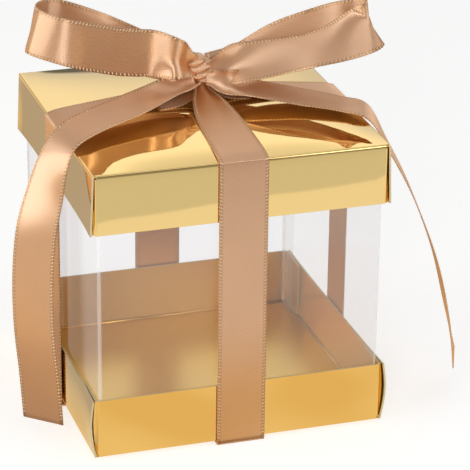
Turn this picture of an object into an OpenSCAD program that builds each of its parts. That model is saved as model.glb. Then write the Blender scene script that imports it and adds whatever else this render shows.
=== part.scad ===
// Favor box: a foil card tray and lid on a clear square sleeve, tied crosswise with satin ribbon.
// Millimetres, +Z up. The origin lies on the table under the middle of the box, and -Y is the front.

/* [Box] */
// Outer width of the tray and the lid, and their depth over the front and back walls
box_w = 60; // [50:1:80]
// Height of the lid's top above the table
box_h = 61.5; // [50:0.5:90]
// Height of the tray's walls
tray_h = 12.6; // [10:0.2:17]
// Height of the lid's walls
lid_h = 12.6; // [10:0.2:17]

/* [Foil card] */
// Thickness of the card
card_t = 0.4; // [0.3:0.05:0.6]
// Inside radius of a fold in the card
fold_r = 0.2; // [0.1:0.05:0.3]
// Length of the glue tabs that turn in behind the side walls
tab_l = 9; // [5:0.5:14]
// Space between a glue tab and the side wall glued over it
glue_gap = 0.1; // [0.05:0.05:0.3]
// How far the tray's side walls belly out at their free ends
tray_belly = 0.7; // [0:0.1:1]
// How far the tray's side walls lean out at the rim, at their free ends
tray_lean = 0.35; // [0:0.05:0.6]
// How far the lid's side walls lean out at the rim, at their free ends
lid_lean = 0.5; // [0:0.05:0.8]

/* [Clear sleeve] */
// Thickness of the clear sheet
sleeve_t = 0.25; // [0.15:0.05:0.35]
// Running gap between the sleeve and the round inside the card's folds
sleeve_gap = 0.1; // [0.05:0.05:0.2]
// Outside radius of the sleeve's creased corners
crease_r = 0.6; // [0.4:0.1:1]
// Width of the glued lap where the sleeve's sheet closes on itself
lap_w = 7; // [4:0.5:10]

/* [Ribbon] */
// Width of the satin ribbon
ribbon_w = 10; // [7:0.5:12]
// Thickness of the ribbon
ribbon_t = 0.3; // [0.2:0.05:0.35]
// Gap between the hanging ribbon and the card behind it
ribbon_gap = 0.3; // [0.2:0.05:0.5]
// Height of the knot's middle above the lid
knot_rise = 8.5; // [7.5:0.5:11]
// Length of the knot along the bow
knot_l = 5.4; // [4:0.2:7]
// Thickness of the knot across the bow
knot_d = 5; // [4:0.2:6]
// Reach of a bow loop from the middle of the knot
loop_l = 36; // [28:1:44]
// How far the bow loops climb above the knot's middle
loop_climb = 9; // [5:0.5:12]

/* [Hidden] */

// Half the box, the side walls' inner and outer faces, and the levels that pieces sit on
half_w = box_w / 2;
fold_out = fold_r + card_t;
side_in = half_w + glue_gap;
side_out = side_in + card_t;
tray_z = 2 * ribbon_t;
tray_floor = tray_z + card_t;
lid_under = box_h - card_t;
sleeve_half = half_w - fold_out - sleeve_gap;

// Faces across a sheet of ribbon, and the steps between two points of a route
tail_cols = 4;
loop_cols = 6;
arm_cols = 6;
route_steps = 3;
// Turns between the flats of a fold in the card, in degrees
fold_turns = [30, 60];
// Folds across the ribbon where the knot gathers it, and their depth as a share of the ribbon's width
pleats = 1.5;
pleat_share = 0.07;

foil = "#E3BE72";
clear = [0.92, 0.95, 0.97, 0.35];
satin = "#C49573";

// Tail routes: along, which counts 1 at the wall and one more for each ribbon width beyond it; across
// as a share of half the box; height, which counts 1 at the lid's top and 2 at the knot's middle. The
// next three numbers point across the ribbon, and the last is how much of its width is spread.
left_tail_shares = [
  [-0.04, -0.07, 1.76, 0.2, -0.8, -0.5, 0.40],
  [-0.27, -0.14, 1.60, 0.3, -0.95, 0, 0.85],
  [-0.55, -0.25, 1.52, 0.4, -0.9, 0, 1],
  [-0.84, -0.34, 1.39, 0.35, -0.95, 0, 1],
  [-1.10, -0.41, 1.14, 0.2, -1, 0, 1],
  [-1.36, -0.44, 0.96, 0.3, -0.95, 0, 1],
  [-1.58, -0.45, 0.84, 0.5, -0.87, 0, 1],
  [-1.78, -0.46, 0.71, 0.6, -0.8, 0, 1],
  [-1.87, -0.47, 0.55, 0.64, -0.77, 0, 1],
  [-1.88, -0.49, 0.38, 0.64, -0.77, 0, 1],
  [-1.80, -0.51, 0.20, 0.64, -0.77, 0, 1],
  [-1.75, -0.53, 0.05, 0.64, -0.77, 0, 1]
];
right_tail_shares = [
  [0.05, -0.05, 1.78, 0, -0.8, -0.5, 0.40],
  [0.30, -0.13, 1.61, -0.2, -0.95, 0, 0.90],
  [0.60, -0.26, 1.40, -0.3, -0.95, 0, 1],
  [0.88, -0.36, 1.24, -0.3, -0.95, 0.05, 1],
  [1.19, -0.44, 1.05, -0.3, -0.95, 0.02, 1],
  [1.60, -0.48, 0.89, -0.3, -0.95, 0, 1],
  [2.08, -0.53, 0.73, -0.32, -0.95, 0, 1],
  [2.60, -0.58, 0.50, -0.32, -0.95, 0, 1],
  [2.90, -0.62, 0.28, -0.32, -0.95, 0, 1],
  [3.08, -0.64, 0.11, -0.32, -0.95, 0, 1]
];
// Loop routes: along as a share of the loop's reach, across as a share of the same, height as a
// share of the loop's climb above the knot's middle, then as above
left_loop_shares = [
  [-0.04, -0.03, 0.04, 0, -0.1, -1, 0.35],
  [-0.23, -0.01, 0.28, 0, -0.1, -1, 1],
  [-0.50, 0.02, 0.56, 0, 0, -1, 1],
  [-0.77, 0.09, 0.84, 0, 0, -1, 0.97],
  [-0.92, 0.22, 1.00, -0.25, 0, -1, 0.96],
  [-0.76, 0.34, 0.92, 0, 0, -1, 0.97],
  [-0.50, 0.28, 0.56, 0, 0, -1, 1],
  [-0.22, 0.12, 0.18, 0, 0, -1, 0.9],
  [-0.04, 0.05, 0.00, 0, 0, -1, 0.35]
];
right_loop_shares = [
  [0.05, -0.07, -0.06, 0, -0.9, -0.45, 0.35],
  [0.28, -0.10, 0.14, 0, -1, -0.15, 0.85],
  [0.58, -0.20, 0.46, 0, -0.94, -0.35, 1],
  [0.80, -0.24, 0.74, 0.2, -0.8, -0.6, 1],
  [0.955, -0.19, 0.95, 0.35, -0.3, -0.93, 1],
  [0.80, -0.07, 0.82, 0.1, 0, -1, 1],
  [0.50, 0.00, 0.44, 0, 0, -1, 0.96],
  [0.25, 0.03, 0.06, 0, 0, -1, 0.66],
  [0.05, 0.04, 0.02, 0, 0, -1, 0.35]
];
// Arm routes: out from the knot as a share of the way to the lid's edge, height as a share of the
// knot's height, then how much of the ribbon's width is spread
arm_shares = [
  [0.065, 0.59, 0.30],
  [0.2, 0.46, 0.62],
  [0.4, 0.31, 0.86],
  [0.67, 0.165, 0.97],
  [1, 0.045, 1]
];

function unit(v) = v / norm(v);

// A point t of the way from b to c on the smooth curve through a, b, c and d
function smooth_point(a, b, c, d, t) =
  ((2 * b) + (c - a) * t + (2 * a - 5 * b + 4 * c - d) * t * t + (3 * b - a - 3 * c + d) * t * t * t) / 2;

// Every station of a route, with route_steps between two of its rows
function smooth_route(rows) =
  let (last = len(rows) - 1)
  concat(
    [for (i = [0 : last - 1], k = [0 : route_steps - 1])
      let (
        b = rows[i],
        c = rows[i + 1],
        a = i > 0 ? rows[i - 1] : 2 * b - c,
        d = i + 2 <= last ? rows[i + 2] : 2 * c - b
      )
      smooth_point(a, b, c, d, k / route_steps)],
    [rows[last]]
  );

// A place that counts 1 at the end of the reach, and one more for each step beyond it
function beyond(share, reach, step) =
  sign(share) * (min(abs(share), 1) * reach + max(abs(share) - 1, 0) * step);

function tail_rows(shares) = [for (s = shares)
  [beyond(s[0], half_w, ribbon_w), s[1] * half_w, beyond(s[2], box_h, knot_rise), s[3], s[4], s[5], s[6]]];

function loop_rows(shares) = [for (s = shares)
  [s[0] * loop_l, s[1] * loop_l, box_h + knot_rise + s[2] * loop_climb, s[3], s[4], s[5], s[6]]];

function arm_rows(shares, edge) = [for (s = shares)
  [s[0] * edge, 0, box_h + s[1] * knot_rise, 0, -1, 0, s[2]]];

// How far the ribbon folds off its flat at v, from -0.5 to 0.5 across it
function pleat(v, spread) = (1 - spread) * pleat_share * ribbon_w * cos(v * pleats * 360);

// The closed outline of the ribbon at one station: over its upper face and back under its lower one
function ribbon_ring(stations, i, cols) =
  let (
    row = stations[i],
    here = [row[0], row[1], row[2]],
    before = stations[max(i - 1, 0)],
    after = stations[min(i + 1, len(stations) - 1)],
    along = unit([after[0] - before[0], after[1] - before[1], after[2] - before[2]]),
    lead = [row[3], row[4], row[5]],
    across = unit(lead - (lead * along) * along),
    up = cross(across, along)
  )
  concat(
    [for (j = [0 : cols]) let (v = j / cols - 1 / 2)
      here + across * v * row[6] * ribbon_w + up * (pleat(v, row[6]) + ribbon_t / 2)],
    [for (j = [cols : -1 : 0]) let (v = j / cols - 1 / 2)
      here + across * v * row[6] * ribbon_w + up * (pleat(v, row[6]) - ribbon_t / 2)]
  );

// A closed sheet through rings that run over its one face and back along the other
module sheet(rings) {
  n = len(rings[0]);
  last = len(rings) - 1;
  walls = [for (i = [0 : last - 1], j = [0 : n - 1])
    let (a = i * n + j, b = i * n + (j + 1) % n)
    each [[a, b, b + n], [a, b + n, a + n]]];
  near = [for (j = [0 : n / 2 - 2]) each [[j, n - 1 - j, j + 1], [j + 1, n - 1 - j, n - 2 - j]]];
  far = [for (f = near) [for (p = [2 : -1 : 0]) f[p] + last * n]];
  polyhedron(points = [for (r = rings) each r], faces = concat(walls, near, far), convexity = 8);
}

module ribbon(rows, cols) {
  stations = smooth_route(rows);
  sheet([for (i = [0 : len(stations) - 1]) ribbon_ring(stations, i, cols)]);
}

// One face of the card from inside the panel round its fold to the top of a wall, seen from the end.
// Side 0 is the face outside the fold and side 1 the one inside it.
function wall_face(out, wall_h, side, springs) =
  let (flat = out - fold_out, r = side == 0 ? fold_out : fold_r, last = len(springs) - 1)
  concat(
    [[flat - card_t, side * card_t], [flat, side * card_t]],
    [for (a = fold_turns) [flat + r * sin(a), fold_out - r * cos(a)]],
    [for (k = [0 : last]) let (up = k / last)
      [out - side * card_t + springs[k], fold_out * (1 - up) + wall_h * up]]
  );

// How far a wall stands off its line: nothing at the fold and in the middle, most at its ends
function wall_spring(along, up, belly, lean) =
  pow(abs(along), 4) * (lean * up + belly * sin(180 * up));

// A wall on the panel's +X side, whose free ends may spring outwards
module folded_wall(out, half_l, wall_h, belly, lean) {
  along_steps = belly + lean > 0 ? 10 : 1;
  up_steps = belly + lean > 0 ? 5 : 1;
  sheet([for (i = [0 : along_steps])
    let (
      along = 2 * i / along_steps - 1,
      springs = [for (k = [0 : up_steps]) wall_spring(along, k / up_steps, belly, lean)],
      outer = wall_face(out, wall_h, 0, springs),
      inner = wall_face(out, wall_h, 1, springs)
    )
    concat(
      [for (p = outer) [p[0], along * half_l, p[1]]],
      [for (k = [len(inner) - 1 : -1 : 0]) [inner[k][0], along * half_l, inner[k][1]]]
    )]);
}

// One face of a glue tab from above: from inside the wall that carries it, round the corner
function tab_face(side) =
  let (flat = half_w - fold_out, face = half_w - side * card_t, r = side == 0 ? fold_out : fold_r)
  concat(
    [[flat - card_t, face], [flat, face]],
    [for (a = fold_turns) [flat + r * sin(a), flat + r * cos(a)]],
    [[face, flat], [face, flat - tab_l]]
  );

// A glue tab, turned in from the end of a front or back wall to lie behind a side wall
module glue_tab(wall_h) {
  outer = tab_face(0);
  inner = tab_face(1);
  foot = fold_out + card_t;
  sheet([for (z = [foot, wall_h])
    concat(
      [for (p = outer) [p[0], p[1], z]],
      [for (k = [len(inner) - 1 : -1 : 0]) [inner[k][0], inner[k][1], z]]
    )]);
}

// The tray, open upwards, with its panel's underside at zero: one sheet of card, cut and folded
module folded_card(wall_h, belly, lean) {
  wall_half = half_w - fold_out;
  panel_half = side_out - fold_out;
  translate([-panel_half, -wall_half, 0]) cube([2 * panel_half, 2 * wall_half, card_t]);
  for (sx = [0, 1]) mirror([sx, 0, 0]) folded_wall(side_out, half_w, wall_h, belly, lean);
  for (turn = [90, 270]) rotate([0, 0, turn]) folded_wall(half_w, wall_half, wall_h, 0, 0);
  for (sx = [0, 1], sy = [0, 1]) mirror([sx, 0, 0]) mirror([0, sy, 0]) glue_tab(wall_h);
}

module tray() {
  color(foil) translate([0, 0, tray_z]) folded_card(tray_h, tray_belly, tray_lean);
}

module lid() {
  color(foil) translate([0, 0, box_h]) mirror([0, 0, 1]) folded_card(lid_h, 0, lid_lean);
}

// A square with round corners, drawn about its middle
module rounded_square(half, r) {
  square([2 * half, 2 * (half - r)], center = true);
  square([2 * (half - r), 2 * half], center = true);
  for (sx = [-1, 1], sy = [-1, 1]) translate([sx * (half - r), sy * (half - r)]) circle(r = r, $fn = 48);
}

// The clear sleeve: one creased sheet whose lap is glued inside the right pane's back edge
module sleeve() {
  inner = sleeve_half - sleeve_t;
  color(clear) translate([0, 0, tray_floor]) linear_extrude(height = lid_under - tray_floor) {
    difference() {
      rounded_square(sleeve_half, crease_r);
      rounded_square(inner, crease_r - sleeve_t / 2);
    }
    translate([inner - sleeve_t, inner - lap_w]) square([1.5 * sleeve_t, lap_w + sleeve_t / 2]);
  }
}

// The ribbon that crosses under the tray from side to side, flat on the table
module ribbon_under_across() {
  reach = side_out + ribbon_gap + ribbon_t;
  color(satin) translate([-reach, -ribbon_w / 2, 0]) cube([2 * reach, ribbon_w, ribbon_t]);
}

// The ribbon that crosses under the tray from front to back, and climbs over the one from the sides
module ribbon_under_through() {
  reach = half_w + ribbon_gap + ribbon_t;
  over = ribbon_w / 2 + ribbon_gap;
  down = over + ribbon_w / 4;
  half_line = [[over, ribbon_t], [down, 0], [reach, 0]];
  line = concat([for (i = [2 : -1 : 0]) [-half_line[i][0], half_line[i][1]]], half_line);
  top = [for (i = [5 : -1 : 0]) [line[i][0], line[i][1] + ribbon_t]];
  color(satin) translate([-ribbon_w / 2, 0, 0]) rotate([90, 0, 90])
    linear_extrude(height = ribbon_w) polygon(concat(line, top));
}

// A stretch of ribbon down one side of the box, turned to that side
module ribbon_side(turn, wall) {
  foot = ribbon_t + ribbon_gap;
  color(satin) rotate([0, 0, turn]) translate([-ribbon_w / 2, -wall - ribbon_gap - ribbon_t, foot])
    cube([ribbon_w, ribbon_t, box_h - foot]);
}

// A stretch of ribbon over the lid, from its edge up to the knot, turned to that side
module ribbon_arm(turn, wall) {
  color(satin) rotate([0, 0, turn - 90])
    ribbon(arm_rows(arm_shares, wall + ribbon_gap + ribbon_t), arm_cols);
}

// The knot: a barrel of ribbon pulled tight round the bow's middle, with slanting folds
module knot() {
  rings = 8;
  sides = 24;
  folds = 7;
  lean = 35;
  swell_share = 0.72;
  ripple_share = 0.07;
  slant = 60;
  points = [for (i = [0 : rings]) let (
      s = 2 * i / rings - 1,
      r = knot_d / 2 * (swell_share + (1 - swell_share) * cos(90 * s))
    )
    for (j = [0 : sides - 1]) let (
      a = 360 * j / sides,
      ripple = 1 + ripple_share * cos(folds * a + slant * s)
    )
    [s * knot_l / 2, r * ripple * cos(a), r * ripple * sin(a)]];
  ends = len(points);
  walls = [for (i = [0 : rings - 1], j = [0 : sides - 1])
    let (a = i * sides + j, b = i * sides + (j + 1) % sides)
    each [[a, b, b + sides], [a, b + sides, a + sides]]];
  near = [for (j = [0 : sides - 1]) [ends, (j + 1) % sides, j]];
  far = [for (j = [0 : sides - 1])
    [ends + 1, rings * sides + j, rings * sides + (j + 1) % sides]];
  color(satin) translate([0, 0, box_h + knot_rise]) rotate([0, lean, 0])
    polyhedron(
      points = concat(points, [[-knot_l / 2, 0, 0], [knot_l / 2, 0, 0]]),
      faces = concat(walls, near, far),
      convexity = 4
    );
}

module bow_loop_left() {
  color(satin) ribbon(loop_rows(left_loop_shares), loop_cols);
}

module bow_loop_right() {
  color(satin) ribbon(loop_rows(right_loop_shares), loop_cols);
}

module ribbon_tail_left() {
  color(satin) ribbon(tail_rows(left_tail_shares), tail_cols);
}

module ribbon_tail_right() {
  color(satin) ribbon(tail_rows(right_tail_shares), tail_cols);
}

tray();
ribbon_under_across();
ribbon_under_through();
sleeve();
lid();
ribbon_side(0, half_w);  // ribbon_side_front
ribbon_side(180, half_w);  // ribbon_side_back
ribbon_side(270, side_out);  // ribbon_side_left
ribbon_side(90, side_out);  // ribbon_side_right
ribbon_arm(0, half_w);  // ribbon_arm_front
ribbon_arm(180, half_w);  // ribbon_arm_back
ribbon_arm(270, side_out);  // ribbon_arm_left
ribbon_arm(90, side_out);  // ribbon_arm_right
knot();
bow_loop_left();
bow_loop_right();
ribbon_tail_left();
ribbon_tail_right();
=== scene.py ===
import math
import bmesh
import bpy
from mathutils import Matrix, Vector


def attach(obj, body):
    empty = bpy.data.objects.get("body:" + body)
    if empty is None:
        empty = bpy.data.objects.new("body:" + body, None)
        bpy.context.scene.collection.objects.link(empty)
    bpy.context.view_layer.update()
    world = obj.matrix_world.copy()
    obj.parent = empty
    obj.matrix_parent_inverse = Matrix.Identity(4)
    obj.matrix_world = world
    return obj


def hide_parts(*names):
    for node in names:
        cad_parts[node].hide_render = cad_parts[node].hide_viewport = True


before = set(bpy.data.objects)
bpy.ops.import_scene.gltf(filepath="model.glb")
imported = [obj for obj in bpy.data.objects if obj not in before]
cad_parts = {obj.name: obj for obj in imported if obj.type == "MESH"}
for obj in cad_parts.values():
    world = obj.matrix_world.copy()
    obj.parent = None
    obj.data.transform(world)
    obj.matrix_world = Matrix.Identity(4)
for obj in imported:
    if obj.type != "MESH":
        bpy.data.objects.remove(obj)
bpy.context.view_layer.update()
scene = bpy.context.scene
mm = 0.001
near = 0.01  # mm, within which two places count as one
print("favor box: frame loaded,", len(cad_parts), "nodes")


# A colour as it is seen on screen, turned to the linear light that a shader wants
def linear(hexColour):
    parts = [int(hexColour[i:i + 2], 16) / 255 for i in (1, 3, 5)]
    return (*(c / 12.92 if c < 0.04045 else ((c + 0.055) / 1.055) ** 2.4 for c in parts), 1)


# One node with its settings and links. A key is an input's name or number, or else a node setting, and a
# link comes from an output or from a node, which then means its first output. In a Mix node input 0 is the
# share, 2 and 3 are the two numbers and 6 and 7 the two colours, and output 2 is the mixed colour.
def addNode(tree, kind, settings=None, links=None):
    node = tree.nodes.new("ShaderNode" + kind)
    for key, value in (settings or {}).items():
        if isinstance(key, str) and key not in node.inputs:
            setattr(node, key, value)
    for key, value in (settings or {}).items():
        if not isinstance(key, str) or key in node.inputs:
            node.inputs[key].default_value = value
    for key, source in (links or {}).items():
        tree.links.new(getattr(source, "outputs", [source])[0], node.inputs[key])
    return node


def newMaterial(name):
    material = bpy.data.materials.new(name)
    material.use_nodes = True
    material.node_tree.nodes.clear()
    return material, material.node_tree


def makePiece(name, shape, *materials):
    for face in shape.faces:
        face.smooth = True
    mesh = bpy.data.meshes.new(name)
    shape.to_mesh(mesh)
    shape.free()
    for material in materials:
        mesh.materials.append(material)
    piece = bpy.data.objects.new(name, mesh)
    scene.collection.objects.link(piece)
    return piece


# The modifiers' result becomes the mesh itself, and its corners stay crisp past this angle
def settle(piece, degrees):
    made = bpy.data.meshes.new_from_object(piece.evaluated_get(bpy.context.evaluated_depsgraph_get()))
    piece.modifiers.clear()
    piece.data = made
    made.set_sharp_from_angle(angle=math.radians(degrees))


def edgesOf(geometry):
    return [g for g in geometry if isinstance(g, bmesh.types.BMEdge)]


def vertsOf(geometry):
    return [g for g in geometry if isinstance(g, bmesh.types.BMVert)]


# The camera stands at the photograph's viewing angle
cameraPlace = {
    "position": (-147.81, -479.88, 252.19),  # mm
    "yaw": 18.0,  # degrees to the right of +Y
    "pitch": 23.565,  # degrees down
    "roll": 0.764,  # degrees
    "lens": 201.55,  # mm
    "sensor": 36,  # mm
    "clip": (0.01, 20),  # m
}


def placeCamera():
    yaw, pitch, roll = (math.radians(cameraPlace[k]) for k in ("yaw", "pitch", "roll"))
    forward = Vector((math.sin(yaw) * math.cos(pitch), math.cos(yaw) * math.cos(pitch), -math.sin(pitch)))
    level = Vector((math.cos(yaw), -math.sin(yaw), 0))
    upright = level.cross(forward)
    right = math.cos(roll) * level + math.sin(roll) * upright
    up = -math.sin(roll) * level + math.cos(roll) * upright
    data = bpy.data.cameras.new("camera")
    data.lens = cameraPlace["lens"]
    data.sensor_width = cameraPlace["sensor"]
    data.clip_start, data.clip_end = cameraPlace["clip"]
    camera = bpy.data.objects.new("camera", data)
    turn = Matrix((right, up, -forward)).transposed().to_4x4()
    camera.matrix_world = Matrix.Translation(Vector(cameraPlace["position"]) * mm) @ turn
    scene.collection.objects.link(camera)
    scene.camera = camera


placeCamera()

foil = {
    "gold": "#F4D28C",
    "roughness": 0.03,
    "uneven": 0.4,  # the roughness varies by this share
    "inside": "#E4BC64",  # the inner faces, rubbed and hazed by handling
    "insideRoughness": 0.3,
    "insideUneven": 0.05,
    "insideMetal": 0.9,
    "waveSize": 17,  # mm from one soft dent of the card to the next
    "waveDepth": 0.03,  # mm
    "grainSize": 0.6,  # mm, the board's own grain through the film
    "grainDepth": 0.00015,  # mm, on the outer face; inside, the haze hides it
}


# Folding box board laminated with a vacuum-metallised gold film: a mirror that the board behind it
# leaves a little wavy, so straight reflections bend, with a fine orange peel that softens them
def mirrorFoilCard(name, gold, metal, roughness, grainDepth, uneven):
    material, tree = newMaterial(name)
    place = addNode(tree, "TexCoord").outputs["Object"]
    waves = addNode(tree, "TexNoise", {
        "Scale": 1 / (foil["waveSize"] * mm), "Detail": 1, "Roughness": 0.4,
    }, {"Vector": place})
    grain = addNode(tree, "TexNoise", {"Scale": 1 / (foil["grainSize"] * mm), "Detail": 2}, {"Vector": place})
    soft = addNode(tree, "Bump", {"Strength": 1, "Distance": foil["waveDepth"] * mm}, {"Height": waves})
    fine = addNode(tree, "Bump", {"Strength": 1, "Distance": grainDepth * mm},
                   {"Height": grain, "Normal": soft})
    rough = addNode(tree, "MapRange", {
        "To Min": roughness * (1 - uneven), "To Max": roughness * (1 + uneven),
    }, {"Value": grain})
    shader = addNode(tree, "BsdfPrincipled", {"Base Color": linear(gold), "Metallic": metal},
                     {"Roughness": rough, "Normal": fine})
    addNode(tree, "OutputMaterial", links={"Surface": shader})
    return material


rawEdge = {
    "pale": "#E9D9AE",
    "dark": "#C9B07A",
    "fibre": 0.35,  # mm
    "depth": 0.05,  # mm
    "roughness": 0.85,
}


# The board's cut edge: uncoated pale fibre, matt and slightly fluffy
def rawBoardEdge():
    material, tree = newMaterial("rawBoardEdge")
    place = addNode(tree, "TexCoord").outputs["Object"]
    fibre = addNode(tree, "TexNoise", {"Scale": 1 / (rawEdge["fibre"] * mm), "Detail": 3}, {"Vector": place})
    tone = addNode(tree, "ValToRGB", links={"Fac": fibre})
    tone.color_ramp.elements[0].color = linear(rawEdge["dark"])
    tone.color_ramp.elements[1].color = linear(rawEdge["pale"])
    bump = addNode(tree, "Bump", {"Strength": 0.6, "Distance": rawEdge["depth"] * mm}, {"Height": fibre})
    shader = addNode(tree, "BsdfPrincipled", {"Roughness": rawEdge["roughness"]},
                     {"Base Color": tone, "Normal": bump})
    addNode(tree, "OutputMaterial", links={"Surface": shader})
    return material


# "faceOn" and "edgeOn" are the shares of the light that the sheet throws back, seen face on and at a slant
clear = {
    "tint": "#FDFDFE",
    "haze": "#FFFFFF",
    "faceOn": 0.1,
    "edgeOn": 0.55,
    "creaseWhiteAndHighlightFaceOn": 0.36,  # the same where the fold has whitened the sheet, set higher also as a painted highlight along the crease
    "creaseWhiteAndHighlightEdgeOn": 0.8,
    "roughness": 0.04,
    "ior": 1.57,
    "dentSize": 24,  # mm from one shallow dent to the next
    "dentDepth": 0.05,  # mm
}


# Rigid clear polyester sheet, extruded and creased: nearly invisible face on, a pale veil of reflections at a
# slant, and a bright line where it is folded, where a whiter share stands partly for the fold's whitening and
# partly for a painted highlight
def clearSheet(name, faceOn, edgeOn):
    material, tree = newMaterial(name)
    place = addNode(tree, "TexCoord").outputs["Object"]
    dents = addNode(tree, "TexNoise", {"Scale": 1 / (clear["dentSize"] * mm), "Detail": 1}, {"Vector": place})
    bump = addNode(tree, "Bump", {"Strength": 1, "Distance": clear["dentDepth"] * mm}, {"Height": dents})
    facing = addNode(tree, "LayerWeight", {"Blend": 0.5}, {"Normal": bump}).outputs["Facing"]
    slant = addNode(tree, "Math", {"operation": "POWER", 1: 4}, {0: facing})
    share = addNode(tree, "MapRange", {"To Min": faceOn, "To Max": edgeOn}, {"Value": slant})
    through = addNode(tree, "BsdfTransparent", {"Color": linear(clear["tint"])})
    shine = addNode(tree, "BsdfPrincipled", {
        "Base Color": linear(clear["haze"]), "Roughness": clear["roughness"], "IOR": clear["ior"],
    }, {"Normal": bump})
    both = addNode(tree, "MixShader", links={0: share, 1: through, 2: shine})
    addNode(tree, "OutputMaterial", links={"Surface": both})
    return material


satin = {
    "light": "#D48A4C",
    "dark": "#BE763A",
    "toneSize": 9,  # mm from a lighter place to a darker one
    "gap": "#BC8656",  # between the stitches
    "twillPitch": 0.5,  # mm between two lines, across the ribbon: drawn coarser than real, so that it shows
    "twillRun": 1.1,  # mm between two lines, along it
    "twillDepth": 0.02,  # mm
    "twillTone": (0.76, 1.2),  # how far a line darkens and lightens the colour
    "selvedge": 4.3,  # mm from the ribbon's middle to where the stitches start
    "selvedgeBlur": 0.1,  # mm
    "roughness": 0.42,
    "ior": 3.3,  # far over polyester's 1.6: thousands of bare filaments throw back more than one flat face
    "shine": "#FFE9CF",
    "metal": 0.2,  # part of the shine takes on the dye
    "gapMetal": 0.6,  # so that the gaps stay brown and don't shine white
}


# Polyester satin ribbon, woven, dyed champagne: fine steep twill lines, a silky highlight that the long
# threads stretch one way, and brown gaps between the edge stitches. Its U runs along the ribbon and its V
# across, in metres.
def satinRibbon():
    material, tree = newMaterial("satinRibbon")
    uv = addNode(tree, "UVMap", {"uv_map": "weave"})
    parts = addNode(tree, "SeparateXYZ", links={0: uv}).outputs
    across = addNode(tree, "Math", {"operation": "MULTIPLY", 1: 2 * math.pi / (satin["twillPitch"] * mm)},
                     {0: parts[1]})
    along = addNode(tree, "Math", {"operation": "MULTIPLY", 1: 2 * math.pi / (satin["twillRun"] * mm)},
                    {0: parts[0]})
    phase = addNode(tree, "Math", {"operation": "ADD"}, {0: across, 1: along})
    twill = addNode(tree, "Math", {"operation": "SINE"}, {0: phase})
    place = addNode(tree, "TexCoord").outputs["Object"]
    tones = addNode(tree, "TexNoise", {"Scale": 1 / (satin["toneSize"] * mm), "Detail": 2}, {"Vector": place})
    fromMiddle = addNode(tree, "Math", {"operation": "ABSOLUTE"}, {0: parts[1]})
    edge = addNode(tree, "MapRange", {
        "From Min": (satin["selvedge"] - satin["selvedgeBlur"]) * mm,
        "From Max": (satin["selvedge"] + satin["selvedgeBlur"]) * mm,
    }, {"Value": fromMiddle})
    body = addNode(tree, "Mix", {
        "data_type": "RGBA", 6: linear(satin["dark"]), 7: linear(satin["light"]),
    }, {0: tones})
    darkest, lightest = satin["twillTone"]
    lines = addNode(tree, "MapRange", {"From Min": -1, "From Max": 1, "To Min": darkest, "To Max": lightest},
                    {"Value": twill})
    lined = addNode(tree, "Mix", {"data_type": "RGBA", "blend_type": "MULTIPLY", 0: 1},
                    {6: body.outputs[2], 7: lines})
    colour = addNode(tree, "Mix", {"data_type": "RGBA", 7: linear(satin["gap"])},
                     {0: edge, 6: lined.outputs[2]})
    metal = addNode(tree, "MapRange", {"To Min": satin["metal"], "To Max": satin["gapMetal"]},
                    {"Value": edge})
    bump = addNode(tree, "Bump", {"Strength": 0.3, "Distance": satin["twillDepth"] * mm}, {"Height": twill})
    threads = addNode(tree, "Tangent", {"direction_type": "UV_MAP", "uv_map": "weave"})
    shader = addNode(tree, "BsdfPrincipled", {
        "Roughness": satin["roughness"], "IOR": satin["ior"], "Specular IOR Level": 1.0,
        "Specular Tint": linear(satin["shine"]), "Anisotropic": 1.0, "Anisotropic Rotation": 0.25,
    }, {"Base Color": colour.outputs[2], "Metallic": metal, "Normal": bump, "Tangent": threads})
    addNode(tree, "OutputMaterial", links={"Surface": shader})
    return material


thread = {
    "dark": "#CC9868",
    "light": "#FFDDB6",
    "strand": 0.4,  # mm
    "roughness": 0.35,
    "ior": 1.6,
}


# The edge stitches: the same polyester spun as a thicker, glossier thread that catches the light
def stitchThread():
    material, tree = newMaterial("stitchThread")
    place = addNode(tree, "TexCoord").outputs["Object"]
    strands = addNode(tree, "TexNoise", {"Scale": 1 / (thread["strand"] * mm), "Detail": 1},
                      {"Vector": place})
    tone = addNode(tree, "ValToRGB", links={"Fac": strands})
    tone.color_ramp.elements[0].color = linear(thread["dark"])
    tone.color_ramp.elements[1].color = linear(thread["light"])
    shader = addNode(tree, "BsdfPrincipled", {"Roughness": thread["roughness"], "IOR": thread["ior"]},
                     {"Base Color": tone})
    addNode(tree, "OutputMaterial", links={"Surface": shader})
    return material


foilMaterial = mirrorFoilCard("mirrorFoilCard", foil["gold"], 1, foil["roughness"], foil["grainDepth"],
                              foil["uneven"])
insideMaterial = mirrorFoilCard("mirrorFoilInside", foil["inside"], foil["insideMetal"],
                                foil["insideRoughness"], 0, foil["insideUneven"])
boardMaterial = rawBoardEdge()
clearMaterial = clearSheet("clearSheet", clear["faceOn"], clear["edgeOn"])
# The creases' sheet is whiter: partly the fold's whitening, partly a painted highlight
creaseWhiteAndHighlightMaterial = clearSheet("creasedSheetWhiteAndHighlight", clear["creaseWhiteAndHighlightFaceOn"], clear["creaseWhiteAndHighlightEdgeOn"])
satinMaterial = satinRibbon()
threadMaterial = stitchThread()
print("favor box: materials made")

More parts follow.
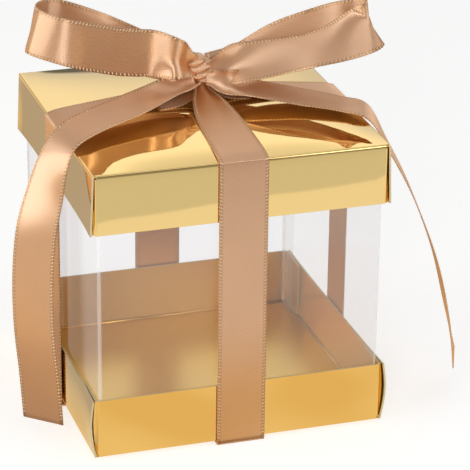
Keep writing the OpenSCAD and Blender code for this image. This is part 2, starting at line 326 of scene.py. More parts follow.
# The tray and the lid, each folded from one card. All in mm.
card = {
    "panelX": 30.05,  # from the middle to the side folds
    "panelY": 29.55,  # to the front and back folds
    "panelSteps": 24,  # rows of faces across the panel
    "fold": 0.45,  # outer radius of a fold
    "foldSteps": 4,
    "thickness": 0.4,
    "wall": 12.15,  # height of the walls over the fold
    "wallSteps": 6,  # rows of faces up a wall
    "sideHalf": 30,  # half the length of a side wall
    "endHalf": 29.55,  # half the length of a front or back wall
    "tab": 9,  # length of a glue tab with its corner
    "tabShare": 0.7,  # a tab follows its sprung wall by this share
    "bead": 0.35,  # radius of the bead inside a fold
    "beadLength": 59.4,
    "beadSides": 12,
    "beadSink": (0.1, 0.05),  # how far its middle lies inside the wall's face and off the panel's
    "trayBottom": 0.6,  # over the ribbon that crosses under it
    "lidTop": 61.5,
    "crisp": 40,  # degrees past which an edge is shaded crisp
}


# One wall: its fold, then rows of faces up to its rim. Its ends leave the panel's corners: a side wall
# runs on, and an end wall stops short for its tabs.
def foldWall(shape, axis, sign):
    edgeAt = (card["panelX"], card["panelY"])[axis]
    out = Vector((0, 0, 0))
    out[axis] = sign
    edges = [e for e in shape.edges if all(
        abs(v.co[axis] - sign * edgeAt) < near and abs(v.co.z) < near for v in e.verts)]
    made = bmesh.ops.spin(shape, geom=edges, cent=out * edgeAt + Vector((0, 0, card["fold"])),
                          axis=Vector((0, 0, -1)).cross(out), angle=math.pi / 2, steps=card["foldSteps"])
    rim = edgesOf(made["geom_last"])
    lift = card["thickness"]
    for step in range(card["wallSteps"]):
        made = bmesh.ops.extrude_edge_only(shape, edges=rim)
        rim = edgesOf(made["geom"])
        bmesh.ops.translate(shape, vec=(0, 0, lift), verts=vertsOf(made["geom"]))
        lift = (card["wall"] - card["thickness"]) / (card["wallSteps"] - 1)
    corner = (card["panelY"], card["panelX"])[axis]
    reach = (card["sideHalf"], card["endHalf"])[axis]
    for vert in shape.verts:
        ending = vert.co[1 - axis]
        if vert.co[axis] * sign > edgeAt + near and abs(abs(ending) - corner) < near:
            vert.co[1 - axis] = math.copysign(reach, ending)


# A glue tab, turned in from the end of a front or back wall and laid along the side wall
def glueTab(shape, sx, sy):
    endX, endY = sx * card["endHalf"], sy * (card["panelY"] + card["fold"])
    lowest = card["fold"] + card["thickness"] - near
    edges = [e for e in shape.edges if e.is_boundary and all(
        abs(v.co.x - endX) < near and abs(v.co.y - endY) < near and v.co.z > lowest for v in e.verts)]
    made = bmesh.ops.spin(shape, geom=edges, cent=Vector((endX, sy * card["panelY"], 0)),
                          axis=Vector((0, sy, 0)).cross(Vector((sx, 0, 0))), angle=math.pi / 2,
                          steps=card["foldSteps"])
    made = bmesh.ops.extrude_edge_only(shape, edges=edgesOf(made["geom_last"]))
    bmesh.ops.translate(shape, vec=(0, -sy * (card["tab"] - card["fold"]), 0), verts=vertsOf(made["geom"]))


# Glued card bows outwards: dome is how far, in mm, at the panel's middle. It stays nearly level from side
# to side along the front and back folds, and is rounder through the middle.
def bowPanel(shape, dome):
    for vert in shape.verts:
        if abs(vert.co.z) < near:
            x, y = abs(vert.co.x) / card["panelX"], abs(vert.co.y) / card["panelY"]
            sideways = x ** 3 + y ** 2 * (x ** 8 - x ** 3)
            vert.co.z = -dome * max(0, 1 - sideways) * max(0, 1 - y ** 3)


# The side walls' free ends spring outwards, by lean at the rim and belly half way up, and the tabs glued
# to them follow part of the way
def springWalls(shape, belly, lean):
    for vert in shape.verts:
        if abs(vert.co.x) > card["endHalf"] + card["fold"] - near and vert.co.z > card["fold"]:
            along = vert.co.y / card["sideHalf"]
            up = (vert.co.z - card["fold"]) / card["wall"]
            spring = along ** 4 * (lean * up + belly * math.sin(math.pi * up))
            share = 1 if abs(vert.co.x) > card["panelX"] + card["fold"] - near else card["tabShare"]
            vert.co.x += math.copysign(share * spring, vert.co.x)


# The outer face of a card, folded up round its panel, with the panel at height 0
def foldedCard(dome, belly, lean):
    shape = bmesh.new()
    bmesh.ops.create_grid(shape, x_segments=card["panelSteps"], y_segments=card["panelSteps"], size=1)
    bmesh.ops.scale(shape, vec=(card["panelX"], card["panelY"], 1), verts=shape.verts)
    for axis in (0, 1):
        for sign in (-1, 1):
            foldWall(shape, axis, sign)
    for sy in (-1, 1):
        for sx in (-1, 1):
            glueTab(shape, sx, sy)
    bowPanel(shape, dome)
    springWalls(shape, belly, lean)
    return shape


# Thickness goes inwards from the outer face, and the cut rim shows raw board
def finishCard(name, shape, place, body, node):
    bmesh.ops.transform(shape, matrix=place @ Matrix.Scale(mm, 4), verts=shape.verts)
    bmesh.ops.recalc_face_normals(shape, faces=shape.faces)
    boxMiddle = Vector((0, 0, card["lidTop"] / 2 * mm))
    panel = max(shape.faces, key=lambda f: abs(f.normal.z))
    if panel.normal.dot(panel.calc_center_median() - boxMiddle) < 0:
        bmesh.ops.reverse_faces(shape, faces=shape.faces)
    piece = makePiece(name, shape, foilMaterial, boardMaterial, insideMaterial)
    wall = piece.modifiers.new("thickness", "SOLIDIFY")
    wall.thickness = card["thickness"] * mm
    wall.offset = -1
    wall.use_even_offset = True
    wall.material_offset_rim = 1
    wall.material_offset = 2
    settle(piece, card["crisp"])
    even = piece.modifiers.new("evenShading", "WEIGHTED_NORMAL")
    even.keep_sharp = True
    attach(piece, body)
    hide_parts(node)


# Creasing leaves a low round bead along the inside of each fold, which catches the light
def foldBeads(name, panelAt, up, body, node):
    shape = bmesh.new()
    inwards, upwards = card["beadSink"]
    for axis in (0, 1):
        for sign in (-1, 1):
            made = bmesh.ops.create_cone(shape, segments=card["beadSides"], radius1=card["bead"],
                                         radius2=card["bead"], depth=card["beadLength"], cap_ends=True)
            bmesh.ops.rotate(shape, cent=(0, 0, 0), matrix=Matrix.Rotation(math.pi / 2, 3, "XY"[axis]),
                             verts=made["verts"])
            offset = Vector((0, 0, panelAt + up * (card["thickness"] + upwards)))
            edgeAt = (card["panelX"], card["panelY"])[axis]
            offset[axis] = sign * (edgeAt + card["fold"] - card["thickness"] - inwards)
            bmesh.ops.translate(shape, vec=offset, verts=made["verts"])
    bmesh.ops.scale(shape, vec=(mm, mm, mm), verts=shape.verts)
    piece = makePiece(name, shape, insideMaterial)
    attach(piece, body)
    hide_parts(node)


trayPlace = Matrix.Translation((0, 0, card["trayBottom"] * mm))
lidPlace = Matrix.Translation((0, 0, card["lidTop"] * mm)) @ Matrix.Scale(-1, 4, (0, 0, 1))
finishCard("trayCard", foldedCard(dome=0, belly=0.7, lean=0.35), trayPlace, "base", "tray")
finishCard("lidCard", foldedCard(dome=2.3, belly=0, lean=0.5), lidPlace, "lid", "lid")
foldBeads("trayFoldBeads", card["trayBottom"], 1, "base", "tray")
foldBeads("lidFoldBeads", card["lidTop"], -1, "lid", "lid")
print("favor box: cards folded")

# The clear sleeve between them. All in mm.
sleeve = {
    "half": 29.3,  # from the middle to the outer face
    "corner": 0.6,  # radius of a crease
    "cornerSteps": 5,
    "bottom": 1.0,
    "top": 61.1,
    "thickness": 0.25,
    "lap": 7,  # overlap inside the right pane's back edge
}


def clearSleeve():
    tall = sleeve["top"] - sleeve["bottom"]
    shape = bmesh.new()
    bmesh.ops.create_grid(shape, x_segments=1, y_segments=1, size=sleeve["half"])
    bmesh.ops.bevel(shape, geom=shape.verts[:], offset=sleeve["corner"], offset_type="OFFSET",
                    affect="VERTICES", segments=sleeve["cornerSteps"], profile=0.5, material=-1)
    made = bmesh.ops.extrude_face_region(shape, geom=shape.faces[:])
    bmesh.ops.translate(shape, vec=(0, 0, tall), verts=vertsOf(made["geom"]))
    bmesh.ops.delete(shape, geom=[f for f in shape.faces if abs(f.normal.z) > 0.9], context="FACES_ONLY")
    bmesh.ops.translate(shape, vec=(0, 0, sleeve["bottom"]), verts=shape.verts)
    bmesh.ops.scale(shape, vec=(mm, mm, mm), verts=shape.verts)
    bmesh.ops.recalc_face_normals(shape, faces=shape.faces)
    largestCrease = 10 * sleeve["corner"] * sleeve["top"] * mm * mm
    # The narrow crease faces take the whiter sheet: fold whitening and a painted highlight
    for face in shape.faces:
        face.material_index = 1 if face.calc_area() < largestCrease else 0
    side = shape.faces[:][0]
    outwards = side.calc_center_median()
    outwards.z = 0
    if side.normal.dot(outwards) < 0:
        bmesh.ops.reverse_faces(shape, faces=shape.faces)
    return makePiece("clearSleeve", shape, clearMaterial, creaseWhiteAndHighlightMaterial)


# The sheet's last strip, glued inside
def sleeveLap():
    inner = sleeve["half"] - sleeve["thickness"]
    tall, halfWay = sleeve["top"] - sleeve["bottom"], (sleeve["top"] + sleeve["bottom"]) / 2
    shape = bmesh.new()
    bmesh.ops.create_grid(shape, x_segments=1, y_segments=1, size=0.5)
    bmesh.ops.rotate(shape, cent=(0, 0, 0), matrix=Matrix.Rotation(math.pi / 2, 3, "Y"), verts=shape.verts)
    bmesh.ops.scale(shape, vec=(1, sleeve["lap"], tall), verts=shape.verts)
    middle = (inner - sleeve["thickness"] / 2, inner - sleeve["lap"] / 2, halfWay)
    bmesh.ops.translate(shape, vec=middle, verts=shape.verts)
    bmesh.ops.scale(shape, vec=(mm, mm, mm), verts=shape.verts)
    return makePiece("sleeveLap", shape, clearMaterial)


for part in (clearSleeve(), sleeveLap()):
    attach(part, "sleeve")
    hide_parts("sleeve")
print("favor box: sleeve made")

# Rows of a ribbon's route hold eight numbers: the place of its middle in mm, its way across, the share of
# its width that is spread, and its curl, in radians from edge to edge
ribbon = {
    "width": 10,  # mm
    "thickness": 0.22,  # mm
    "columns": 14,  # faces across it
    "pleats": 1.5,
    "pleatDepth": 0.7,  # mm off the flat where the ribbon is gathered to nothing
    "routeSteps": 6,  # stations from one row to the next
}


# A smooth route through rows of numbers
def smoothRoute(rows, steps=ribbon["routeSteps"]):
    route = []
    last = len(rows) - 1
    for i in range(last):
        b, c = Vector(rows[i]), Vector(rows[i + 1])
        a = Vector(rows[i - 1]) if i > 0 else 2 * b - c
        d = Vector(rows[i + 2]) if i + 2 <= last else 2 * c - b
        for k in range(steps):
            t = k / steps
            route.append((2 * b + (c - a) * t + (2 * a - 5 * b + 4 * c - d) * t * t
                          + (3 * b - a - 3 * c + d) * t ** 3) / 2)
    route.append(Vector(rows[last]))
    return route


# Where share v of the ribbon's width lies in a row, across it and off its flat: gathered ribbon stands in
# pleats, and a curl rolls both edges towards its upper side
def crossSection(v, spread, curl):
    width = spread * ribbon["width"]
    pleat = (1 - spread) * ribbon["pleatDepth"] * math.cos(2 * math.pi * v * ribbon["pleats"])
    if abs(curl) < 0.05:  # as good as flat
        return v * width, pleat
    return math.sin(curl * v) / curl * width, (1 - math.cos(curl * v)) / curl * width + pleat


# The weave's UV map, in metres, from a place on the flat ribbon for each vertex
def mapWeave(shape, weave, flatPlaces):
    for face in shape.faces:
        for loop in face.loops:
            loop[weave].uv = flatPlaces[loop.vert]


# A strip of ribbon along a route. A hand of -1 makes its twill slant the other way.
def ribbonStrip(route, hand):
    count, columns = len(route) - 1, ribbon["columns"]
    places = [Vector(row[:3]) for row in route]
    walked = [0]
    for a, b in zip(places, places[1:]):
        walked.append(walked[-1] + (b - a).length)
    frames = []
    for i, row in enumerate(route):
        along = (places[min(i + 1, count)] - places[max(i - 1, 0)]).normalized()
        lead = Vector(row[3:6])
        across = (lead - lead.dot(along) * along).normalized()
        frames.append((places[i], across, across.cross(along), row[6], row[7]))
    shape = bmesh.new()
    bmesh.ops.create_grid(shape, x_segments=count, y_segments=columns, size=0.5)
    weave = shape.loops.layers.uv.new("weave")
    flatPlaces = {}
    for vert in shape.verts:
        i, v = round((vert.co.x + 0.5) * count), round((vert.co.y + 0.5) * columns) / columns - 0.5
        flatPlaces[vert] = (walked[i] * mm, hand * v * ribbon["width"] * mm)
        here, across, up, spread, curl = frames[i]
        aside, off = crossSection(v, spread, curl)
        vert.co = (here + across * aside + up * off) * mm
    mapWeave(shape, weave, flatPlaces)
    return shape, frames, walked


stitch = {
    "pitch": 0.72,  # mm from one stitch to the next
    "long": 0.62,  # mm, half its length, across the edge
    "thick": 0.25,  # mm, half
    "deep": 0.17,  # mm, it stands this far off the ribbon's middle plane
    "slant": 28,  # degrees from straight across
    "inset": 0.36,  # mm from the ribbon's edge to the stitch's middle
    "start": 0.3,  # mm from the ribbon's end to the first
    "smallest": 0.5,  # share of its length where the ribbon is gathered
}


# One stitch: a small bead, stretched across the edge at a slant
def addStitch(shape, middle, flatWay, offWay, along, side, size):
    lean = math.radians(stitch["slant"]) * side
    long = (flatWay * math.cos(lean) + along * math.sin(lean)).normalized()
    wide = offWay.cross(long).normalized()
    turn = Matrix((long * stitch["long"] * size, wide * stitch["thick"],
                   offWay.normalized() * stitch["deep"])).transposed().to_4x4()
    place = Matrix.Scale(mm, 4) @ Matrix.Translation(middle) @ turn
    bmesh.ops.create_icosphere(shape, subdivisions=1, radius=1, matrix=place)


# Slanting stitches that bind both edges of a strip
def edgeStitches(name, frames, walked):
    shape = bmesh.new()
    count = int((walked[-1] - 2 * stitch["start"]) / stitch["pitch"])
    i = 0
    for n in range(count):
        reach = stitch["start"] + (n + 0.5) * stitch["pitch"]
        while i < len(walked) - 2 and walked[i + 1] < reach:
            i += 1
        t = (reach - walked[i]) / (walked[i + 1] - walked[i])
        a, b = frames[i], frames[i + 1]
        here, across, up, spread, curl = (a[k] * (1 - t) + b[k] * t for k in range(5))
        along = across.cross(up)
        size = max(spread, stitch["smallest"])
        for side in (-1, 1):
            v = side * (0.5 - stitch["inset"] / ribbon["width"])
            aside, off = crossSection(v, spread, curl)
            flatWay = across * math.cos(curl * v) + up * math.sin(curl * v)
            offWay = up * math.cos(curl * v) - across * math.sin(curl * v)
            addStitch(shape, here + across * aside + up * off, flatWay, offWay, along, side, size)
    bmesh.ops.recalc_face_normals(shape, faces=shape.faces)
    return makePiece(name, shape, threadMaterial)


def ribbonPiece(name, route, body, nodes, hand=1):
    shape, frames, walked = ribbonStrip(route, hand)
    piece = makePiece(name, shape, satinMaterial)
    wall = piece.modifiers.new("thickness", "SOLIDIFY")
    wall.thickness = ribbon["thickness"] * mm
    wall.offset = 0
    stitches = edgeStitches(name + "Stitches", frames, walked)
    for part in (piece, stitches):
        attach(part, body)
    if nodes:
        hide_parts(*nodes)


# The four runs from the knot over the lid and down the box. All in mm, apart from the shares.
run = {
    "onLid": (  # out from the knot, height, share spread
        (0.3, 67.6, 0.30), (2.2, 66.7, 0.32), (6.1, 65.6, 0.62),
        (12.3, 64.35, 0.86), (20.5, 63.2, 0.97), (27.5, 62.3, 1),
    ),
    "offWall": 0.45,
    "overFold": ((0.75, 61.78), (0.12, 61.5), (0, 60.9)),  # in from the run down the wall, height
    "downWall": (56, 48, 40, 32, 24, 16, 8, 0.4),  # heights
    "wallFront": 30,  # from the middle to the front or back wall's face
    "wallSide": 30.5,
}


def ribbonSide(name, turn, wall, nodes):
    out = wall + run["offWall"]
    stretch = out / (run["wallFront"] + run["offWall"])
    rows = [(r * stretch, 0, z, 0, -1, 0, spread, 0) for r, z, spread in run["onLid"]]
    rows += [(out - r, 0, z, 0, -1, 0, 1, 0) for r, z in run["overFold"]]
    rows += [(out, 0, z, 0, -1, 0, 1, 0) for z in run["downWall"]]
    spin = Matrix.Rotation(math.radians(turn - 90), 3, "Z")
    route = [(*(spin @ Vector(row[:3])), *(spin @ Vector(row[3:6])), *row[6:])
             for row in smoothRoute(rows)]
    ribbonPiece(name, route, "ribbon", nodes)


ribbonSide("ribbonFront", 0, run["wallFront"], ("ribbon_side_front", "ribbon_arm_front"))
ribbonSide("ribbonRight", 90, run["wallSide"], ("ribbon_side_right", "ribbon_arm_right"))
ribbonSide("ribbonBack", 180, run["wallFront"], ("ribbon_side_back", "ribbon_arm_back"))
ribbonSide("ribbonLeft", 270, run["wallSide"], ("ribbon_side_left", "ribbon_arm_left"))

# The cross under the tray, in mm: one run flat on the table, the other over it
under = {
    "height": 0.15,
    "overHeight": 0.45,
    "across": (-31, -20, -10, 0, 10, 20, 31),
    "through": (-30.5, -20, -8, -5.5, 0, 5.5, 8, 20, 30.5),
    "overWithin": 6,  # from the middle
    "routeSteps": 2,
}


def ribbonUnder():
    flat = [(x, 0, under["height"], 0, -1, 0, 1, 0) for x in under["across"]]
    ribbonPiece("ribbonUnderAcross", smoothRoute(flat, under["routeSteps"]), "base",
                ("ribbon_under_across",))
    over = [(0, y, under["height"] if abs(y) > under["overWithin"] else under["overHeight"], 1, 0, 0, 1, 0)
            for y in under["through"]]
    ribbonPiece("ribbonUnderThrough", smoothRoute(over, under["routeSteps"]), "base",
                ("ribbon_under_through",))


ribbonUnder()

# The crossing on the lid: the ribbon turns here under the knot, pinched between the runs
crossing = (
    (-10, -0.8, 63.75, 0, -1, 0, 0.9, 0), (-5, -0.6, 64.2, 0.1, -1, 0, 0.8, 0),
    (0, 0, 65.9, 0.2, -1, 0, 0.5, 0),
    (5, 0.6, 64.2, 0.1, -1, 0, 0.8, 0), (10, 0.8, 63.75, 0, -1, 0, 0.9, 0),
)
ribbonPiece("ribbonCrossing", smoothRoute(crossing), "ribbon", ())

tails = {
    "left": (
        (-1.2, -2.3, 67.9, 0.2, -0.85, -0.45, 0.45, -3), (-4.2, -3.2, 67.2, 0.25, -0.9, -0.25, 0.75, -2.2),
        (-8.1, -4.2, 66.6, 0.3, -0.95, 0, 0.92, -1.3), (-16.5, -7.5, 65.92, 0.4, -0.9, 0, 1, -0.4),
        (-25.2, -10.2, 64.82, 0.35, -0.95, 0, 1, 0), (-31, -12.3, 62.69, 0.2, -1, 0, 1, 0),
        (-33.6, -13.2, 59.04, 0.3, -0.95, 0, 1, 0), (-35.8, -13.5, 51.66, 0.5, -0.87, 0, 1, 0),
        (-37.8, -13.8, 43.67, 0.6, -0.8, 0, 1, 0), (-38.7, -14.1, 33.83, 0.64, -0.77, 0, 1, 0),
        (-38.8, -14.7, 23.37, 0.64, -0.77, 0, 1, 0), (-38, -15.3, 12.3, 0.64, -0.77, 0, 1, 0),
        (-37.5, -15.9, 3.08, 0.64, -0.77, 0, 1, 0),
    ),
    "right": (
        (0.8, -2.4, 68.7, 0.3, -0.4, -0.87, 0.36, 3.4), (2.7, -3.2, 68.4, 0.25, -0.45, -0.86, 0.55, 2.9),
        (5, -4.2, 67.4, 0.15, -0.6, -0.75, 0.68, 2.2), (9.2, -5.4, 66, -0.1, -0.97, -0.12, 0.9, 0.9),
        (18, -7.8, 64.9, -0.3, -0.95, 0, 1, 0.1), (26.4, -10.8, 63.54, -0.3, -0.95, 0.05, 1, 0),
        (31.9, -13.2, 61.93, -0.3, -0.95, 0.02, 1, 0), (36, -14.4, 54.74, -0.25, -0.96, 0.02, 1, 0),
        (40.8, -15.9, 44.9, -0.23, -0.97, 0.03, 1, 0), (46, -17.4, 30.75, -0.23, -0.97, 0.03, 1, 0),
        (49, -18.6, 17.22, -0.26, -0.96, 0.02, 1, 0), (50.8, -19.2, 6.77, -0.4, -0.92, 0, 1, 0),
    ),
}
loops = {
    "left": (
        (-1.4, -1, 70.6, 0, -0.1, -1, 0.42, -2.4), (-3.6, -2.2, 72, 0, -0.1, -1, 0.6, -1.2),
        (-6, -3.2, 73.5, 0, -0.1, -1, 0.85, -0.1), (-10, -1.4, 74.5, 0, 0, -1, 0.98, 0.2),
        (-13.4, -0.6, 74.7, 0, 0, -1, 1, 0.1), (-18, 0.2, 75.3, 0, 0, -1, 1, 0),
        (-27.72, 1.8, 77.56, 0, 0, -1, 0.97, 0), (-33.12, 7.0, 79, -0.25, 0, -1, 0.96, 0),
        (-27.36, 12.24, 78.28, 0, 0, -1, 0.97, 0), (-18, 10.08, 75.04, 0, 0, -1, 1, 0),
        (-7.92, 4.32, 71.62, 0, 0, -1, 0.9, 0.6), (-1.44, 1.8, 70, 0, 0, -1, 0.5, 2.5),
    ),
    "right": (
        (1.6, -1.5, 69.8, 0, -0.3, -0.95, 0.45, 2.6), (5.4, -1.8, 70.5, 0, -0.4, -0.92, 0.8, 1.4),
        (10.2, -3.3, 71.4, 0, -0.8, -0.6, 0.94, 0.5), (20.88, -7.2, 74.14, 0, -0.94, -0.35, 1, 0),
        (28.8, -8.64, 76.66, 0.2, -0.8, -0.6, 1, 0), (34.38, -6.84, 78.55, 0.35, -0.3, -0.93, 1, 0),
        (28.8, -2.52, 77.38, 0.1, 0, -1, 1, 0), (18, 0, 73.96, 0, 0, -1, 0.96, 0),
        (9, 1.08, 70.54, 0, 0, -1, 0.7, 0.8), (1.8, 1.44, 70.18, 0, 0, -1, 0.45, 2),
    ),
}
for name, rows, held, node, hand in (
        ("tailLeft", tails["left"], "hung", "ribbon_tail_left", 1),
        ("tailRight", tails["right"], "hung", "ribbon_tail_right", 1),
        ("loopLeft", loops["left"], "gathered", "bow_loop_left", -1),
        ("loopRight", loops["right"], "gathered", "bow_loop_right", 1)):
    ribbonPiece(name, smoothRoute(rows), "ribbon", (node,), hand)
print("favor box: ribbon laid, tails and loops tied")

knot = {
    "height": 70,  # mm
    "length": 6.2,  # mm along the bow
    "across": 5.2,  # mm through its middle
    "waist": 0.7,  # share of that at its two ends
    "turn": 46,  # degrees that its axis drops to the right
    "folds": 3.5,
    "foldStart": 0.2,  # share of a fold that has passed at the knot's end
    "foldDepth": 1.1,  # mm
    "slant": -0.55,  # folds that a crease wanders along the knot on its way round
    "tuck": 1.3,  # share of half its length at which the ribbon stops, turned in past the end
    "tuckDepth": 1.2,  # mm inwards, for one such share past the end
    "around": 64,  # faces
    "wide": 40,
    "edges": (1.3, 2.3),  # the folds along which the ribbon's edges lie
    "stitchOut": 0.1,  # mm
    "stitchSize": 0.75,  # share of the length of one on the flat ribbon
}


# A point of the wrapped ribbon, at angle a round the knot and share s of its width from the middle
def knotPoint(a, s):
    f = ((s * 0.5 + 0.5) * knot["folds"] + knot["slant"] * math.sin(a) + knot["foldStart"]) % 1
    ridge = math.sqrt(max(0, 1 - (2 * f - 1) ** 2))
    thick, waist = knot["across"] / 2, knot["waist"]
    r = thick * (waist + (1 - waist) * math.cos(s * math.pi / 2)) - knot["foldDepth"] * (1 - ridge)
    tucked = max(0, abs(s) - 1)
    if tucked:
        s = math.copysign(1 - tucked, s)
        r = thick * waist - knot["tuckDepth"] * tucked
    return Vector((s * knot["length"] / 2, r * math.cos(a), r * math.sin(a)))


# The ribbon wrapped once round the bow's middle and pulled tight, in rounded folds with sharp creases
def wrappedRibbon(place):
    shape = bmesh.new()
    bmesh.ops.create_grid(shape, x_segments=knot["around"], y_segments=knot["wide"], size=0.5)
    weave = shape.loops.layers.uv.new("weave")
    flatPlaces = {}
    for vert in shape.verts:
        a, s = (vert.co.x + 0.5) * 2 * math.pi, vert.co.y * 2 * knot["tuck"]
        flatPlaces[vert] = (a * knot["across"] / 2 * mm, s * ribbon["width"] / 2 * mm)
        vert.co = knotPoint(a, s) * mm
    mapWeave(shape, weave, flatPlaces)
    bmesh.ops.remove_doubles(shape, verts=shape.verts, dist=0.001 * mm)
    bmesh.ops.transform(shape, matrix=place, verts=shape.verts)
    bmesh.ops.recalc_face_normals(shape, faces=shape.faces)
    piece = makePiece("knotWrap", shape, satinMaterial)
    wall = piece.modifiers.new("thickness", "SOLIDIFY")
    wall.thickness = ribbon["thickness"] * mm
    wall.offset = -1
    return piece


# The stitches of the wrapped ribbon's edges, along two of its folds
def knotStitches(place):
    shape = bmesh.new()
    count = int(math.pi * knot["across"] / stitch["pitch"])
    for fold in knot["edges"]:
        for n in range(count):
            a = n / count * 2 * math.pi
            s = ((fold - knot["foldStart"] - knot["slant"] * math.sin(a)) / knot["folds"] - 0.5) * 2
            here, ahead = knotPoint(a, s), knotPoint(a + 0.05, s)
            out = Vector((0, math.cos(a), math.sin(a)))
            addStitch(shape, here + out * knot["stitchOut"], Vector((1, 0, 0)), out,
                      (ahead - here).normalized(), 1, knot["stitchSize"])
    bmesh.ops.transform(shape, matrix=place, verts=shape.verts)
    bmesh.ops.recalc_face_normals(shape, faces=shape.faces)
    return makePiece("knotWrapStitches", shape, threadMaterial)


def tieKnot():
    turn = Matrix.Rotation(math.radians(knot["turn"]), 4, "Y")
    place = Matrix.Translation((0, 0, knot["height"] * mm)) @ turn
    piece, stitches = wrappedRibbon(place), knotStitches(place)
    for part in (piece, stitches):
        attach(part, "ribbon")
    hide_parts("knot")


tieKnot()
print("favor box: knot tied")

# Only mirrors see the floor's zones: near the box a painted pool of gold light with painted paler streaks,
# standing for the light that the foil throws on the paper, then white paper, then a dull table past the
# paper's front edge and the room beyond it, and a painted shadow of the box in a strip along its left side
floor = {
    "paper": "#C3C3C2",  # under the lamps
    "glow": 0.63,  # what it adds for the camera, so that it reads white where no shadow falls
    "half": 1.5,  # m
    # painted light: the gold that the foil throws on the paper near the box, seen in mirrors
    "mirroredGoldLight": "#ECD3A2",
    "mirroredGoldLightStreak": "#FBEBCA",  # painted streaks of brighter light in the painted gold light
    "mirroredPaper": "#FAFAFA",
    "mirroredTable": "#DDE0E2",
    "mirroredRoom": "#96948F",
    "mirroredSideShadow": "#BBB1A5",  # painted shadow of the box, in a strip along its left side
    "streak": 0.03,  # m from one to the next
    "lightStreakFrom": (0.35, 0.65),  # noise, from none of the palest to all
    "goldLightFrom": (-0.075, -0.055),  # m along Y, from none of a zone to all of it
    "tableFrom": (-0.146, -0.147),
    "roomFrom": (-0.168, -0.208),
    "sideShadowFrom": (-0.04, -0.03),
    "sideShadowWithin": (0.025, 0.019),  # m to either side of the strip's middle
    "sideShadowMiddle": 0.055,  # m to the left of the box's middle
    "paperLean": 0.09,  # the paper's front edge lies a little askew
}


# White seamless paper, matt, with the object's shadow on it
def paperFloor():
    material, tree = newMaterial("paperFloor")
    path = addNode(tree, "LightPath").outputs
    seen = addNode(tree, "Math", {"operation": "MAXIMUM"},
                   {0: path["Is Camera Ray"], 1: path["Is Transmission Ray"]})
    place = addNode(tree, "TexCoord").outputs["Object"]
    x, y = addNode(tree, "SeparateXYZ", links={0: place}).outputs[:2]
    lean = addNode(tree, "Math", {"operation": "MULTIPLY_ADD", 1: floor["paperLean"]}, {0: x, 2: y})
    aside = addNode(tree, "Math", {"operation": "ADD", 1: floor["sideShadowMiddle"]}, {0: x})
    away = addNode(tree, "Math", {"operation": "ABSOLUTE"}, {0: aside})
    blots = addNode(tree, "TexNoise", {"Scale": 1 / floor["streak"], "Detail": 0}, {"Vector": place})
    # Shares of the painted gold light near the box, of its painted streaks, past the paper, past the table,
    # and of the painted shadow along the box's left side
    goldLightShare, pale, pastPaper, pastTable, within, behind = (
        addNode(tree, "MapRange", {"From Min": none, "From Max": full}, {"Value": value})
        for value, (none, full) in (
            (y, floor["goldLightFrom"]), (blots, floor["lightStreakFrom"]), (lean, floor["tableFrom"]),
            (y, floor["roomFrom"]), (away, floor["sideShadowWithin"]), (y, floor["sideShadowFrom"])))
    sideShadowShare = addNode(tree, "Math", {"operation": "MULTIPLY"}, {0: within, 1: behind})
    # The painted gold light near the box, with its painted streaks of brighter light
    gold = addNode(tree, "Mix", {
        "data_type": "RGBA", 6: linear(floor["mirroredGoldLight"]), 7: linear(floor["mirroredGoldLightStreak"]),
    }, {0: pale})
    colour = addNode(tree, "Mix", {"data_type": "RGBA", 6: linear(floor["mirroredPaper"])},
                     {0: goldLightShare, 7: gold.outputs[2]}).outputs[2]
    # Then the table, the room, and the painted shadow in the strip along the box's left side
    for share, zone in ((pastPaper, "mirroredTable"), (pastTable, "mirroredRoom"), (sideShadowShare, "mirroredSideShadow")):
        colour = addNode(tree, "Mix", {"data_type": "RGBA", 7: linear(floor[zone])},
                         {0: share, 6: colour}).outputs[2]
    mirrored = addNode(tree, "Emission", {"Strength": 1}, {"Color": colour})
    paper = addNode(tree, "BsdfDiffuse", {"Color": linear(floor["paper"])})
    strength = addNode(tree, "Math", {"operation": "MULTIPLY", 1: floor["glow"]}, {0: seen})
    glow = addNode(tree, "Emission", {"Color": (1, 1, 1, 1)}, {"Strength": strength})
    plain = addNode(tree, "AddShader", links={0: paper, 1: glow})
    both = addNode(tree, "MixShader", links={0: path["Is Glossy Ray"], 1: plain, 2: mirrored})
    addNode(tree, "OutputMaterial", links={"Surface": both})
    return material


def stageFloor():
    shape = bmesh.new()
    bmesh.ops.create_grid(shape, x_segments=1, y_segments=1, size=floor["half"])
    makePiece("stageFloor", shape, paperFloor())


# The world is an even white for the camera and a plain level on the object. Only mirrors see its parts,
# each a strength with the heights where it starts and is full, as the sine of the angle over the horizon.
room = {
    "level": 0.35,
    "gap": 0.15,  # at the horizon, between the paper's back edge and the backdrop
    "low": 0.74,  # the backdrop's lower part
    "lowFrom": (0.08, 0.16),
    "backdrop": 1.2,
    "backdropFrom": (0.2, 0.5),
    "ceiling": 0.4,
    "ceilingFrom": (0.62, 0.8),
    "dim": 0.18,  # the room behind the camera
    "dimFrom": (0.6, 0.3),
    "dimFront": (0.1, -0.2),  # the same, along Y
}


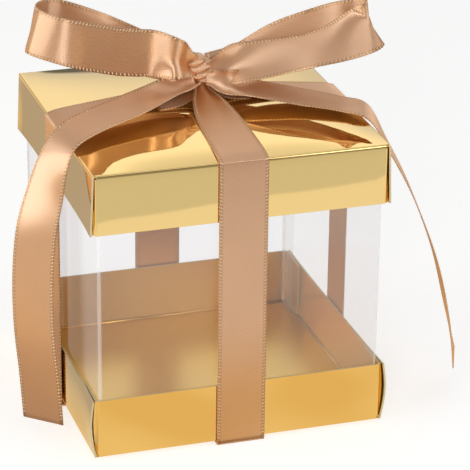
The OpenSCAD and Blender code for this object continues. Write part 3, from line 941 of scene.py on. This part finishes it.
def worldLight():
    world = bpy.data.worlds.new("room")
    world.use_nodes = True
    tree = world.node_tree
    tree.nodes.clear()
    path = addNode(tree, "LightPath").outputs
    seen = addNode(tree, "Math", {"operation": "MAXIMUM"},
                   {0: path["Is Camera Ray"], 1: path["Is Transmission Ray"]})
    place = addNode(tree, "TexCoord").outputs["Generated"]
    y, z = addNode(tree, "SeparateXYZ", links={0: place}).outputs[1:]
    inFront, lowDown, high = (
        addNode(tree, "MapRange", {"From Min": none, "From Max": full}, {"Value": value})
        for value, (none, full) in ((y, room["dimFront"]), (z, room["dimFrom"]), (z, room["ceilingFrom"])))
    dim = addNode(tree, "Math", {"operation": "MULTIPLY"}, {0: inFront, 1: lowDown})
    lowStart, lowFull = room["lowFrom"]
    foot = addNode(tree, "MapRange", {
        "From Min": lowStart, "From Max": lowFull, "To Min": room["gap"], "To Max": room["low"],
    }, {"Value": z})
    riseStart, riseFull = room["backdropFrom"]
    rising = addNode(tree, "MapRange", {
        "From Min": riseStart, "From Max": riseFull, "To Max": room["backdrop"],
    }, {"Value": z, "To Min": foot})
    above = addNode(tree, "Mix", {"data_type": "FLOAT", 3: room["ceiling"]}, {0: high, 2: rising})
    mirrored = addNode(tree, "Mix", {"data_type": "FLOAT", 3: room["dim"]}, {0: dim, 2: above})
    plain = addNode(tree, "MapRange", {"To Min": room["level"], "To Max": 1.0}, {"Value": seen})
    strength = addNode(tree, "Mix", {"data_type": "FLOAT"}, {0: path["Is Glossy Ray"], 2: plain, 3: mirrored})
    back = addNode(tree, "Background", {"Color": (1, 1, 1, 1)}, {"Strength": strength})
    addNode(tree, "OutputWorld", links={"Surface": back})
    scene.world = world


# Soft lamps: place and aim in m, width and height in m, power in W
lamps = {
    "keyLamp": ((-0.30, -0.62, 0.30), (0, 0, 0.04), (0.16, 0.2), 1.15),
    "leftLamp": ((-0.64, -0.16, 0.1), (0, 0, 0.035), (0.6, 0.4), 3.3),
    "fillLamp": ((0.45, -0.5, 0.2), (0, 0, 0.04), (0.6, 0.3), 1.6),
    "topLamp": ((0.1, 0.12, 0.7), (0, 0, 0.04), (0.45, 0.45), 0.4),
}


def softLamp(name, place, aim, size, power):
    data = bpy.data.lights.new(name, "AREA")
    data.shape = "RECTANGLE"
    data.size, data.size_y = size
    data.energy = power
    lamp = bpy.data.objects.new(name, data)
    lamp.location = place
    lamp.rotation_mode = "QUATERNION"
    lamp.rotation_quaternion = (Vector(aim) - Vector(place)).to_track_quat("-Z", "Y")
    scene.collection.objects.link(lamp)


stageFloor()
worldLight()
for name, setting in lamps.items():
    softLamp(name, *setting)
scene.view_settings.view_transform = "Standard"
print("favor box: stage set")
